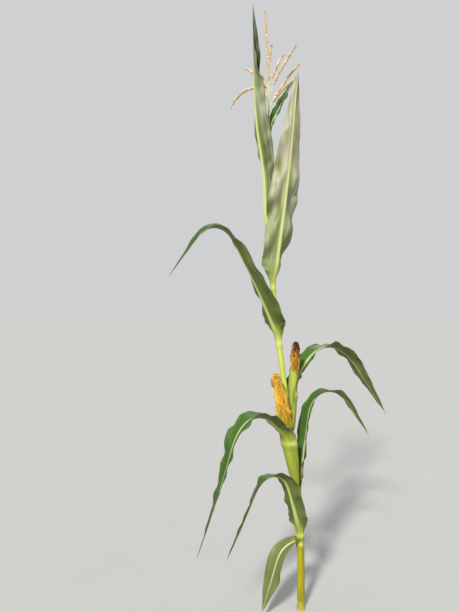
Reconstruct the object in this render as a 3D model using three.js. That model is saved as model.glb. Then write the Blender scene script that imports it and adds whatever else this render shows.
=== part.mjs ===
// A flowering maize plant, rooted in the ground: one stalk, nine leaves in two ranks, two ears with
// their silks, and a branched tassel. Millimetres, +Z up, +X to the viewer's right, +Y away from the
// viewer. The origin is the middle of the flat cut under the stalk, at ground level.
import * as THREE from "three";

// Driving dimensions of the whole plant.
const CLEARANCE = 0.5; // between pieces that touch on the real plant
const SHEATH_PLAY = 0.9; // between a sheath and what it holds
const STALK_TOP = 2004; // the tassel's rachis goes on from here
const TASSEL_TOP = 2412;
const LEAN = { x: -126, y: 24, from: 150, to: 1600 }; // to the left and a little away
const FOOT_RADIUS = 13;
const NECK_RADIUS = 3.5; // under the tassel
const TAPER_HEIGHT = 1960;
const TAPER_POWER = 1.15;
const FLARE = { radius: 5, height: 24 }; // root flare at ground level
const RINGS = { heights: [24, 1634], radius: 1.6, reach: 6 }; // swollen nodes where the stalk is bare

// Sheaths and blades.
const SHEATH_THICKNESS = 2;
const SHEATH_WRAP = 150; // degrees to each side of the midrib
const COLLAR_WRAP = 90; // the same at the collar, where the sheath opens into the blade
const COLLAR_REACH = 34; // height over which a sheath opens and widens to its collar
const SHEATH_WIDTH = 112; // a sheath never reaches further round than this
const TUCK = 11; // each sheath starts this far inside the collar below
const BULGE = { from: 48, power: 0.7 }; // a sheath that widens does so from this far above its foot
const UNROLL = 0.11; // share of the blade in which it flattens
const BLADE_THICKNESS = 0.01; // of the blade's length, at the midrib
const MARGIN_THICKNESS = 2.4;
const THINS_FROM = 0.2; // share of the blade from which its midrib thins towards the tip
const THIN_WIDTH = 8; // a half of the blade that is narrower than this is thinner too
const WIDEST_AT = 0.4;
const TURN_LENGTH = 55; // a blade turns away from the stalk over this length
const BASE_WIDTH = 0.6; // of the blade's full width, at the collar
const TIP_POWER = 1.6;
const TIP_HALF_WIDTH = 1.3;
const SETTLED_AT = 0.8; // share of the blade by which its twist is whole and its fold is shallow
const TIP_FOLD = 0.4; // share of the fold that is left there
const MARGIN_FOLD = 1.25; // tilt of the margins, of the tilt beside the midrib

// The leaves from the lowest up. Azimuths are in degrees from +X, counter-clockwise from above, so
// -90 faces the viewer. The blade leaves its collar at the elevation rise and ends at the elevation
// fall, bending over bendSpan of its length round bendAt; drift turns it sideways on its way out,
// twist rolls it, and fold is the tilt of its halves. bulge widens the sheath up to its collar, round
// an ear or a stalk that it stands off. base, turn, tipFold and twistedBy are there where they aren't
// BASE_WIDTH, TURN_LENGTH, TIP_FOLD and SETTLED_AT, turnFrom and twistedFrom where the turn or the
// twist starts late, and foot where the sheath doesn't start in the collar below.
const LEAVES = [
  {
    foot: 34, collar: 262, azimuth: -155, length: 320, width: 82, fold: 16, base: 0.45, turn: 20,
    rise: -8, fall: -69, bendAt: 0.24, bendSpan: 0.42, drift: -8, twist: -34,
  },
  {
    collar: 298, azimuth: -118, length: 680, width: 86, fold: 18, base: 1.1,
    rise: 72, fall: -64, bendAt: 0.46, bendSpan: 0.36, drift: -72, twist: 26,
  },
  {
    collar: 452, azimuth: 30, length: 740, width: 94, fold: 24,
    rise: 76, fall: -60, bendAt: 0.6, bendSpan: 0.42, drift: -22, twist: -12,
  },
  {
    collar: 668, azimuth: -125, length: 760, width: 98, fold: 20, bulge: 40,
    rise: 46, fall: -64, bendAt: 0.32, bendSpan: 0.44, drift: -45, twist: 16,
  },
  {
    collar: 852, azimuth: 40, length: 800, width: 100, fold: 20, bulge: 41,
    rise: 46, fall: -58, bendAt: 0.4, bendSpan: 0.6, drift: -14, twist: -10,
  },
  {
    collar: 1060, azimuth: -124, length: 800, width: 118, fold: 22, base: 0.95,
    rise: 66, fall: -50, bendAt: 0.66, bendSpan: 0.26, drift: -60, twist: -14, twistedBy: 0.4,
  },
  {
    collar: 1286, azimuth: -36, length: 835, width: 136, fold: 24, tipFold: 0.8, base: 0.8,
    rise: 75, fall: 78.5, bendAt: 0.5, bendSpan: 0.6, drift: 0, twist: -36, twistedBy: 0.3,
  },
  {
    collar: 1482, azimuth: -138, length: 940, width: 102, fold: 46, tipFold: 0.75, bulge: 6,
    rise: 80.5, turnFrom: 190, turn: 120, fall: 91.5, bendAt: 0.52, bendSpan: 0.24, drift: 0,
    twist: -100, twistedFrom: 0.4, twistedBy: 1,
  },
  {
    foot: 1640, collar: 1906, azimuth: 38, length: 320, width: 64, fold: 16,
    rise: 62, fall: 56, bendAt: 0.6, bendSpan: 0.6, drift: 0, twist: 0,
  },
];

// Each ear stands in the axil of one leaf, offset from the stalk's centre at the husk's foot, and
// leans by leanX and leanY for each unit of height. Its silk hangs towards silkAzimuth.
const EARS = [
  {
    name: "ear_1", leaf: 3, silk: "goldenSilk", shankFrom: 522, huskFrom: 590, tip: 926,
    radius: 20.5, offset: 21, leanX: -0.195, leanY: -0.08,
    silkLength: 248, silkWidth: 54, silkAzimuth: -55,
  },
  {
    name: "ear_2", leaf: 4, silk: "brownSilk", shankFrom: 738, huskFrom: 796, tip: 1046,
    radius: 14.5, offset: 21, leanX: 0.08, leanY: 0.02,
    silkLength: 150, silkWidth: 38, silkAzimuth: -112,
  },
];
const SHANK = { radius: 5.5, out: 7, upright: 35 }; // leaves the stalk level and ends upright
// Shares of the length and of the full radius or width, for a husk and for a hank of silk.
const HUSK = { foot: 0.4, wideBy: 0.42, narrowFrom: 0.55, tip: 0.3 };
const SILK = { root: 0.3, wideBy: 0.3, narrowFrom: 0.7, tip: 0.4 };
const SILK_TURN = 48; // the silk turns over within this length
const SILK_CUPS = { from: 34, over: 40 }; // and takes its tilts from here on, over this length
const SILK_THICKNESS = 9;
const SILK_TILTS = { inner: -8, outer: -66, hang: -86 };

// The tassel: a central spike, and branches given by where they leave it and how they bend.
const RACHIS_RADIUS = 3.3;
const SPIKE = { spikelets: 2120, radius: 5.6, tipRadius: 1.6, leanX: -18 };
const BRANCH = { stemRadius: 1.5, radius: 4.3, tipRadius: 1.3, bare: 0.16 };
const BRANCHES = [
  { z: 2012, azimuth: -25, length: 155, lift: 56, end: 24 },
  { z: 2016, azimuth: 18, length: 245, lift: 62, end: 50 },
  { z: 2028, azimuth: 112, length: 180, lift: 70, end: 62 },
  { z: 2044, azimuth: 134, length: 270, lift: 68, end: -48 },
  { z: 2068, azimuth: -12, length: 222, lift: 66, end: 54 },
  { z: 2094, azimuth: 140, length: 168, lift: 52, end: 40 },
  { z: 2108, azimuth: 14, length: 150, lift: 70, end: 60 },
  { z: 2176, azimuth: -35, length: 92, lift: 84, end: 78 },
];

// How finely the solids are cut.
const STALK_SIDES = 14;
const STALK_RINGS = 20; // evenly spaced above EVEN_FROM
const EVEN_FROM = 80;
const LEAF_ACROSS = 8;
const LEAF_ALONG = 31; // rings from the sheath's foot to the blade's tip, of which
const SHEATH_RINGS = 12; // are on the sheath,
const COLLAR_RINGS = 4; // of these on its opening part,
const UNROLL_RINGS = 6; // and these are on the part of the blade that flattens
const PATH_STEPS = 120;
const HUSK_SIDES = 12;
const HUSK_RINGS = 11;
const SILK_ACROSS = 6;
const SILK_RINGS = 15; // of which
const SILK_TURN_RINGS = 8; // are on the part that turns over
const SPIKE_SIDES = 8;
const BRANCH_SIDES = 5;
const TOOTH_PITCH = 13; // one ring of spikelets and the gap after it

const radians = THREE.MathUtils.degToRad;
const mix = THREE.MathUtils.lerp;
const smooth = (t) => THREE.MathUtils.smoothstep(t, 0, 1);
const clamp01 = (t) => THREE.MathUtils.clamp(t, 0, 1);

// Colours of the living plant.
const colours = {
  stalk: { color: 0xa9b64a, roughness: 0.55 },
  leaf: { color: 0x4e7a36, roughness: 0.6 },
  husk: { color: 0xb4c55a, roughness: 0.6 },
  goldenSilk: { color: 0xc98f35, roughness: 0.7 },
  brownSilk: { color: 0x96572a, roughness: 0.75 },
  tassel: { color: 0xc9ad74, roughness: 0.8 },
};
const materials = Object.fromEntries(
  Object.entries(colours).map(([name, look]) => [
    name,
    new THREE.MeshStandardMaterial({ ...look, metalness: 0 }),
  ]),
);

const plant = new THREE.Group();
plant.name = "maize_plant";

const numbered = (index) => String(index + 1).padStart(2, "0");

function addPiece(name, geometry, material) {
  const mesh = new THREE.Mesh(geometry, material);
  mesh.name = name;
  plant.add(mesh);
}

// The stalk's centre line and radius at a height.
function stalkCentre(z) {
  const share = smooth((z - LEAN.from) / (LEAN.to - LEAN.from));
  return new THREE.Vector3(LEAN.x * share, LEAN.y * share, z);
}

function stalkRadius(z) {
  return mix(FOOT_RADIUS, NECK_RADIUS, clamp01(z / TAPER_HEIGHT) ** TAPER_POWER);
}

const outward = (azimuth) =>
  new THREE.Vector3(Math.cos(radians(azimuth)), Math.sin(radians(azimuth)), 0);

// Moves each vertex of a geometry to where place puts it.
function reshape(geometry, place) {
  const at = geometry.getAttribute("position");
  const p = new THREE.Vector3();
  for (let i = 0; i < at.count; i++) {
    p.fromBufferAttribute(at, i);
    at.setXYZ(i, ...place(p.x, p.y, p.z).toArray());
  }
  geometry.deleteAttribute("normal");
  geometry.deleteAttribute("uv");
  return geometry;
}

// A round stem through rings of given heights, standing on its flat lowest ring.
function stemGeometry(heights, radiusAt) {
  const rings = heights.length - 1;
  const cylinder = new THREE.CylinderGeometry(1, 1, 1, STALK_SIDES, rings).rotateX(Math.PI / 2);
  return reshape(cylinder, (x, y, z) => {
    const height = heights[Math.round((z + 0.5) * rings)];
    const r = radiusAt(height);
    return stalkCentre(height).add(new THREE.Vector3(x * r, y * r, 0));
  });
}

function makeStalk() {
  const swollen = (z) =>
    Math.max(...RINGS.heights.map((h) => clamp01(1 - Math.abs(z - h) / RINGS.reach)));
  const flare = (z) => FLARE.radius * clamp01(1 - z / FLARE.height) ** 2;
  const radiusAt = (z) => stalkRadius(z) + flare(z) + RINGS.radius * swollen(z);
  const rings = RINGS.heights.flatMap((h) => [h - RINGS.reach, h, h + RINGS.reach]);
  const even = Array.from({ length: STALK_RINGS }, (_, i) =>
    mix(EVEN_FROM, STALK_TOP, i / (STALK_RINGS - 1)),
  );
  const heights = [0, FLARE.height * 0.3, FLARE.height * 0.6, ...rings, ...even];
  heights.sort((a, b) => a - b);
  addPiece("stalk", stemGeometry(heights, radiusAt), materials.stalk);
}

// A line led by its elevation and azimuth from its start, with the frame of a sheet along it: lateral
// runs across the sheet and normal points to its upper side. up is what an elevation of 90 follows.
function ledPath({ start, up, length, elevation, azimuth, twist }) {
  const points = [start.clone()];
  const frames = [];
  for (let i = 0; i <= PATH_STEPS; i++) {
    const u = i / PATH_STEPS;
    const e = radians(elevation(u));
    const out = outward(azimuth(u));
    const level = new THREE.Vector3(-out.y, out.x, 0);
    const tangent = out.multiplyScalar(Math.cos(e)).addScaledVector(up, Math.sin(e)).normalize();
    const lateral = level
      .addScaledVector(tangent, -level.dot(tangent))
      .normalize()
      .applyAxisAngle(tangent, radians(twist(u)));
    frames.push({ lateral, normal: tangent.clone().cross(lateral) });
    if (i < PATH_STEPS)
      points.push(points[i].clone().addScaledVector(tangent, length / PATH_STEPS));
  }
  return (u) => {
    const i = Math.min(Math.floor(clamp01(u) * PATH_STEPS), PATH_STEPS - 1);
    const share = clamp01(u) * PATH_STEPS - i;
    const between = (key) => frames[i][key].clone().lerp(frames[i + 1][key], share).normalize();
    return {
      point: points[i].clone().lerp(points[i + 1], share),
      lateral: between("lateral"),
      normal: between("normal"),
    };
  };
}

// Where a sheet's cross-section is at share v of its half width: each half starts at the midrib with
// the tilt inner and curves evenly to the tilt outer, and thickness lies under its upper side.
function acrossSheet(section, v, under) {
  const { frame, halfWidth, inner, outer, thickness } = section;
  const run = Math.abs(v) * halfWidth;
  const bend = (outer - inner) / halfWidth;
  const tilt = inner + bend * run;
  const straight = Math.abs(bend) < 1e-6;
  const side = straight ? run * Math.cos(inner) : (Math.sin(tilt) - Math.sin(inner)) / bend;
  const up = straight ? run * Math.sin(inner) : (Math.cos(inner) - Math.cos(tilt)) / bend;
  const depth = under ? mix(thickness, Math.min(thickness, MARGIN_THICKNESS), v * v) : 0;
  const sign = Math.sign(v);
  return frame.point
    .clone()
    .addScaledVector(frame.lateral, sign * (side + depth * Math.sin(tilt) * Math.abs(sign)))
    .addScaledVector(frame.normal, up - depth * Math.cos(tilt));
}

// A closed sheet: a box with many faces, bent to the sections that sectionAt gives for 0 to 1.
function sheetGeometry(across, along, sectionAt) {
  const box = new THREE.BoxGeometry(2, 1, 1, across, 1, along);
  return reshape(box, (x, y, z) => acrossSheet(sectionAt(z + 0.5), x, y < 0));
}

function bladeHalfWidth(leaf, u) {
  const base = leaf.base ?? BASE_WIDTH;
  const rising = mix(base, 1, Math.sin((Math.PI / 2) * clamp01(u / WIDEST_AT)));
  const past = clamp01((u - WIDEST_AT) / (1 - WIDEST_AT));
  return Math.max((leaf.width / 2) * rising * (1 - past ** TIP_POWER), TIP_HALF_WIDTH);
}

// The inner radius of a sheath at a height: its flat facets clear the stalk, and near the collar they
// clear the next sheath too, which starts in there.
function sheathRadius(z, collar) {
  const facet = Math.cos(radians(SHEATH_WRAP) / LEAF_ACROSS);
  const narrow = (stalkRadius(z) + SHEATH_PLAY) / facet;
  const wide = (narrow + SHEATH_THICKNESS + SHEATH_PLAY) / facet;
  return mix(narrow, wide, smooth((z - collar + COLLAR_REACH) / (COLLAR_REACH - TUCK)));
}

// One leaf: a sheath rolled round the stalk up to its collar, and the blade beyond it.
function leafSections(index) {
  const leaf = LEAVES[index];
  const foot = leaf.foot ?? LEAVES[index - 1].collar - TUCK;
  const out = outward(leaf.azimuth);
  const { turnFrom = 0, turn = TURN_LENGTH, tipFold = TIP_FOLD } = leaf;
  const { twistedFrom = 0, twistedBy = SETTLED_AT } = leaf;

  const sheath = (z) => {
    const inner = sheathRadius(z, leaf.collar);
    const bulgeFoot = foot + BULGE.from;
    const swollen = clamp01((z - bulgeFoot) / (leaf.collar - bulgeFoot)) ** BULGE.power;
    const swell = (leaf.bulge ?? 0) * swollen;
    const radius = inner + swell / 2;
    const opening = smooth((z - leaf.collar + COLLAR_REACH) / COLLAR_REACH);
    const wrap = Math.min(
      radians(mix(SHEATH_WRAP, COLLAR_WRAP, opening)),
      SHEATH_WIDTH / 2 / radius,
    );
    return {
      frame: {
        point: stalkCentre(z).addScaledVector(out, inner + swell),
        lateral: new THREE.Vector3(-out.y, out.x, 0),
        normal: out.clone().negate(),
      },
      halfWidth: radius * wrap,
      inner: 0,
      outer: wrap,
      thickness: SHEATH_THICKNESS,
    };
  };

  const collar = sheath(leaf.collar);
  const along = stalkCentre(leaf.collar + 1).sub(stalkCentre(leaf.collar - 1)).normalize();
  const bladeFrame = ledPath({
    start: collar.frame.point,
    up: along,
    length: leaf.length,
    elevation: (u) =>
      mix(90, leaf.rise, smooth((u * leaf.length - turnFrom) / turn)) +
      (leaf.fall - leaf.rise) * smooth((u - leaf.bendAt) / leaf.bendSpan + 0.5),
    azimuth: (u) => leaf.azimuth + leaf.drift * u,
    twist: (u) => leaf.twist * smooth((u - twistedFrom) / (twistedBy - twistedFrom)),
  });
  const blade = (u) => {
    const open = smooth(u / UNROLL);
    const fold = radians(leaf.fold) * mix(1, tipFold, smooth(u / SETTLED_AT));
    const halfWidth = mix(collar.halfWidth, bladeHalfWidth(leaf, u), open);
    const thinning = smooth((u - THINS_FROM) / (1 - THINS_FROM));
    const full = mix(BLADE_THICKNESS * leaf.length, MARGIN_THICKNESS, thinning);
    return {
      frame: bladeFrame(u),
      halfWidth,
      inner: fold * open,
      outer: mix(collar.outer, fold * MARGIN_FOLD, open),
      thickness: mix(SHEATH_THICKNESS, full, open) * Math.min(1, halfWidth / THIN_WIDTH + 0.15),
    };
  };

  return (t) => {
    const inSheath = t * LEAF_ALONG - SHEATH_RINGS;
    const opens = leaf.collar - COLLAR_REACH;
    if (inSheath <= -COLLAR_RINGS)
      return sheath(mix(opens, foot, -(inSheath + COLLAR_RINGS) / (SHEATH_RINGS - COLLAR_RINGS)));
    if (inSheath <= 0) return sheath(mix(leaf.collar, opens, -inSheath / COLLAR_RINGS));
    if (inSheath <= UNROLL_RINGS) return blade((UNROLL * inSheath) / UNROLL_RINGS);
    const flatRings = LEAF_ALONG - SHEATH_RINGS - UNROLL_RINGS;
    return blade(mix(UNROLL, 1, (inSheath - UNROLL_RINGS) / flatRings));
  };
}

function makeLeaf(leaf, index) {
  const geometry = sheetGeometry(LEAF_ACROSS, LEAF_ALONG, leafSections(index));
  addPiece("leaf_" + numbered(index), geometry, materials.leaf);
}

// A closed round tube along a curve, with a radius for each share of its length.
function tubeGeometry(curve, sides, rings, radiusAt) {
  const { normals, binormals } = curve.computeFrenetFrames(rings, false);
  const cylinder = new THREE.CylinderGeometry(1, 1, 1, sides, rings).rotateX(Math.PI / 2);
  return reshape(cylinder, (x, y, z) => {
    const ring = Math.round((z + 0.5) * rings);
    const r = radiusAt(ring / rings);
    return curve
      .getPointAt(ring / rings)
      .addScaledVector(normals[ring], x * r)
      .addScaledVector(binormals[ring], y * r);
  });
}

// An ear: a shank from the stalk, the husk on it, and the silk that hangs from the husk's tip.
function makeEar(ear) {
  const out = outward(LEAVES[ear.leaf].azimuth);
  const shankFoot = stalkCentre(ear.shankFrom).addScaledVector(
    out,
    stalkRadius(ear.shankFrom) + 3 * CLEARANCE,
  );
  const lean = new THREE.Vector3(ear.leanX, ear.leanY, 1);
  const huskFoot = stalkCentre(ear.huskFrom).addScaledVector(out, ear.offset);
  const huskTip = huskFoot.clone().addScaledVector(lean, ear.tip - ear.huskFrom);
  const axis = huskTip.clone().sub(huskFoot).normalize();

  const shank = new THREE.CubicBezierCurve3(
    shankFoot,
    shankFoot.clone().addScaledVector(out, SHANK.out),
    huskFoot.clone().addScaledVector(axis, -SHANK.upright),
    huskFoot.clone().addScaledVector(axis, -CLEARANCE),
  );
  addPiece(
    ear.name + "_shank",
    tubeGeometry(shank, 8, 6, () => SHANK.radius),
    materials.husk,
  );

  // The husk swells above its foot, stays thick for half its length and narrows to its tip.
  const huskRadius = (t) => {
    const swelling = mix(HUSK.foot, 1, smooth(t / HUSK.wideBy));
    const narrowing = mix(1, HUSK.tip, smooth((t - HUSK.narrowFrom) / (1 - HUSK.narrowFrom)));
    return ear.radius * swelling * narrowing;
  };
  const husk = tubeGeometry(
    new THREE.LineCurve3(huskFoot, huskTip),
    HUSK_SIDES,
    HUSK_RINGS,
    huskRadius,
  );
  addPiece(ear.name + "_husk", husk, materials.husk);

  // The silk comes out of the tip, turns over and hangs down.
  const silkPath = ledPath({
    start: huskTip.clone().addScaledVector(axis, CLEARANCE),
    up: axis,
    length: ear.silkLength,
    elevation: (u) => mix(90, SILK_TILTS.hang, smooth((u * ear.silkLength) / SILK_TURN)),
    azimuth: () => ear.silkAzimuth,
    twist: () => 0,
  });
  const turned = SILK_TURN / ear.silkLength;
  const silk = sheetGeometry(SILK_ACROSS, SILK_RINGS, (t) => {
    const ring = t * SILK_RINGS;
    const hanging = (ring - SILK_TURN_RINGS) / (SILK_RINGS - SILK_TURN_RINGS);
    const u = hanging < 0 ? (turned * ring) / SILK_TURN_RINGS : mix(turned, 1, hanging);
    const widening = mix(SILK.root, 1, smooth(u / SILK.wideBy));
    const narrowing = mix(1, SILK.tip, smooth((u - SILK.narrowFrom) / (1 - SILK.narrowFrom)));
    const cupped = smooth((u * ear.silkLength - SILK_CUPS.from) / SILK_CUPS.over);
    return {
      frame: silkPath(u),
      halfWidth: (ear.silkWidth / 2) * widening * narrowing,
      inner: radians(SILK_TILTS.inner) * cupped,
      outer: radians(SILK_TILTS.outer) * cupped,
      thickness: SILK_THICKNESS * widening * narrowing,
    };
  });
  addPiece(ear.name + "_silk", silk, materials[ear.silk]);
}

// Spikelets stand out of a tassel's limb in rings.
const toothed = (ring, radius) => radius * (ring % 2 ? 1 : 0.62);

const spikeCentre = (z) =>
  stalkCentre(z).setX(
    stalkCentre(z).x + SPIKE.leanX * ((z - STALK_TOP) / (TASSEL_TOP - STALK_TOP)) ** 2,
  );

// The spike's rings of spikelets are evenly spaced, with every second one wide.
const SPIKE_FOOT = STALK_TOP + CLEARANCE;
const SPIKE_RINGS = 2 * Math.round((TASSEL_TOP - SPIKE_FOOT) / TOOTH_PITCH);

function makeSpike() {
  const points = [0, 1, 2, 3, 4].map((i) => spikeCentre(mix(SPIKE_FOOT, TASSEL_TOP, i / 4)));
  const bare = (SPIKE.spikelets - SPIKE_FOOT) / (TASSEL_TOP - SPIKE_FOOT);
  const radiusAt = (t) => {
    if (t < bare) return RACHIS_RADIUS;
    const share = (t - bare) / (1 - bare);
    const full = mix(RACHIS_RADIUS, SPIKE.radius, smooth(share / 0.12));
    return toothed(Math.round(t * SPIKE_RINGS), mix(full, SPIKE.tipRadius, share ** 4));
  };
  const curve = new THREE.CatmullRomCurve3(points);
  const geometry = tubeGeometry(curve, SPIKE_SIDES, SPIKE_RINGS, radiusAt);
  addPiece("tassel_spike", geometry, materials.tassel);
}

// A branch leaves the bare rachis anywhere, and the spike at one of its wide rings.
function branchFoot(branch) {
  const pitch = (TASSEL_TOP - SPIKE_FOOT) / SPIKE_RINGS;
  const wideRing = 2 * Math.round(((branch.z - SPIKE_FOOT) / pitch - 1) / 2) + 1;
  const onSpike = branch.z > SPIKE.spikelets;
  const z = onSpike ? SPIKE_FOOT + wideRing * pitch : branch.z;
  const surface = onSpike ? SPIKE.radius : RACHIS_RADIUS;
  const reach = surface + CLEARANCE + BRANCH.stemRadius * Math.sin(radians(branch.lift));
  return spikeCentre(z).addScaledVector(outward(branch.azimuth), reach);
}

function makeBranch(branch, index) {
  const path = ledPath({
    start: branchFoot(branch),
    up: new THREE.Vector3(0, 0, 1),
    length: branch.length,
    elevation: (u) => mix(branch.lift, branch.end, u),
    azimuth: () => branch.azimuth,
    twist: () => 0,
  });
  const points = [0, 1, 2, 3, 4, 5, 6].map((i) => path(i / 6).point);
  const rings = 2 * Math.round(branch.length / TOOTH_PITCH);
  const radiusAt = (t) => {
    if (t < BRANCH.bare) return BRANCH.stemRadius;
    const share = (t - BRANCH.bare) / (1 - BRANCH.bare);
    const full = mix(BRANCH.radius, BRANCH.tipRadius, share ** 4);
    return Math.max(toothed(Math.round(t * rings), full), BRANCH.tipRadius);
  };
  const curve = new THREE.CatmullRomCurve3(points);
  const geometry = tubeGeometry(curve, BRANCH_SIDES, rings, radiusAt);
  addPiece("tassel_branch_" + numbered(index), geometry, materials.tassel);
}

makeStalk();
LEAVES.forEach(makeLeaf);
EARS.forEach(makeEar);
makeSpike();
BRANCHES.forEach(makeBranch);

export default plant;
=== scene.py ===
"""The looks of a flowering maize plant: fine leaves, ears and tassel over the plant's fixed frame.

Metres and degrees, +Z up, +X to the viewer's right, +Y away from the viewer. The origin is the middle
of the flat cut under the stalk. Leaves, ears and tassel grow by the same rules as the frame's solids.
"""

from types import SimpleNamespace as Sizes

import bpy
import numpy as np
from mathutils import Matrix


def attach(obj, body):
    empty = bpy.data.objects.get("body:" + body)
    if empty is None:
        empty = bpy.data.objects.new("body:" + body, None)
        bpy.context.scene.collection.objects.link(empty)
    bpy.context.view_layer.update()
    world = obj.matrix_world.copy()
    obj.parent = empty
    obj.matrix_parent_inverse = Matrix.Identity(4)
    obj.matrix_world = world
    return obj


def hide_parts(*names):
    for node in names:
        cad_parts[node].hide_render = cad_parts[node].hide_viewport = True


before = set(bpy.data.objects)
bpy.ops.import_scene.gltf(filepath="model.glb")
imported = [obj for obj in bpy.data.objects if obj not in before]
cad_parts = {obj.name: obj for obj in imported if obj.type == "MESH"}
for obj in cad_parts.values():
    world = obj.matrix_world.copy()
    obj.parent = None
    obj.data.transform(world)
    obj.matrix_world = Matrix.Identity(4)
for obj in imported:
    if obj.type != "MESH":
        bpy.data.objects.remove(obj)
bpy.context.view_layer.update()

# A leaf adds its index to its seed, and a husk or silk that of its leaf.
SEEDS = Sizes(leaf=11, husk=11, silk=31, tassel=51)

# Stalk.
STALK_TOP = 2.004
TASSEL_TOP = 2.412
LEAN = Sizes(x=-0.126, y=0.024, start=0.15, end=1.6)
FOOT_RADIUS = 0.013
NECK_RADIUS = 0.0035
TAPER_HEIGHT = 1.96
TAPER_POWER = 1.15
FLARE = Sizes(radius=0.005, height=0.024)
RINGS = Sizes(heights=[0.024, 1.634], radius=0.0016, reach=0.006)
STALK_RIBS = [(16, 0, 0.018), (27, 1, 0.012)]  # count round the stalk, phase, share of its radius
STALK_SIDES = 48
STALK_RINGS = 420

# Sheaths and blades.
SHEATH_PLAY = 0.0009
SHEATH_THICKNESS = 0.002
SHEATH_WRAP = 174
COLLAR_WRAP = 90
COLLAR_REACH = 0.034
SHEATH_WIDTH = 0.112
TUCK = 0.011
BULGE = Sizes(start=0.048, power=0.7)
UNROLL = 0.11
BLADE_THICKNESS = 0.01
MARGIN_THICKNESS = 0.0024
THINS_FROM = 0.2
WIDEST_AT = 0.4
TIP_POWER = 1.6
TIP_HALF_WIDTH = 0.0012
SETTLED_AT = 0.8
MARGIN_FOLD = 1.25
PATH_STEPS = 480
SHEATH_RINGS = 46
BLADE_RINGS = 190
LEAF_COLUMNS = 33
COLUMN_POWER = 1.35  # brings the columns together at the midrib
SHEET_HALF = (0.0007, 0.0003)  # half the thickness of the fine sheet, in sheath and blade
SHEET_DEPTH = 0.4  # of the solid's thickness, from its upper side down to the fine sheet
ON_BLADE = 0.08  # of the blade's length, over which what belongs to the blade sets in
CALM_TIP = 0.12  # of the blade's length, over which its relief dies out
# The midrib narrows and gets lower by these powers of the way to the tip. groove is the share of its
# height that the upper side sinks.
MIDRIB = Sizes(
    width=0.0105, tip_width=0.0009, narrowing=0.45,
    height=0.0046, sheath_height=0.001, tip_height=0.08, lowering=0.8, groove=0.25,
)
UNEVEN = Sizes(share=0.03, length=0.21)  # slow changes of the blade's width
SWINGS = [(1, 1), (0.5, 0.57), (0.3, 1.83)]  # strength and stretch of each wave in a margin's swing
SWINGS_TOTAL = 1.4
RUFFLE = Sizes(depth=0.003, length=0.03, at=0.07, reach=0.06)  # of the margins near the collar
DENT = Sizes(
    spacing=0.075, depth=0.0075, jitter=(0.1, 0.9), slant=0.05,
    along=0.023, stretch=(0.7, 1.4), across=0.34, middle=(0.4, 0.95),
)
# The broad hollows run aslant, are deepest around the second one and fade at the midrib.
BILLOW = Sizes(
    left_slant=0.11, right_slant=0.05, weakest=0.35, reach=0.22, off_rib=0.5, margin_from=0.5,
)

# Where the looks change on a leaf, with pairs for the midrib and the margin. The collar and the ring
# over the sheath's foot go by metres, the painted shade beside the midrib by the midrib's width, the
# rest by the blade's length.
MARKS = Sizes(
    pale=(0.16, 0.05), collar=(0.25, 0.8), collar_reach=0.007,
    ring=0.6, ring_at=0.03, ring_reach=0.006,
    dry_from=0.95, dry_margin=0.35, dry_margin_from=0.96,
    # Shade painted in a band on both sides of the midrib, as if its ridge cast it: strength, place and
    # reach.
    rib=1.25, rib_tip=0.55, crease=0.7, crease_at=1.7, crease_reach=0.45,
)

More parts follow.
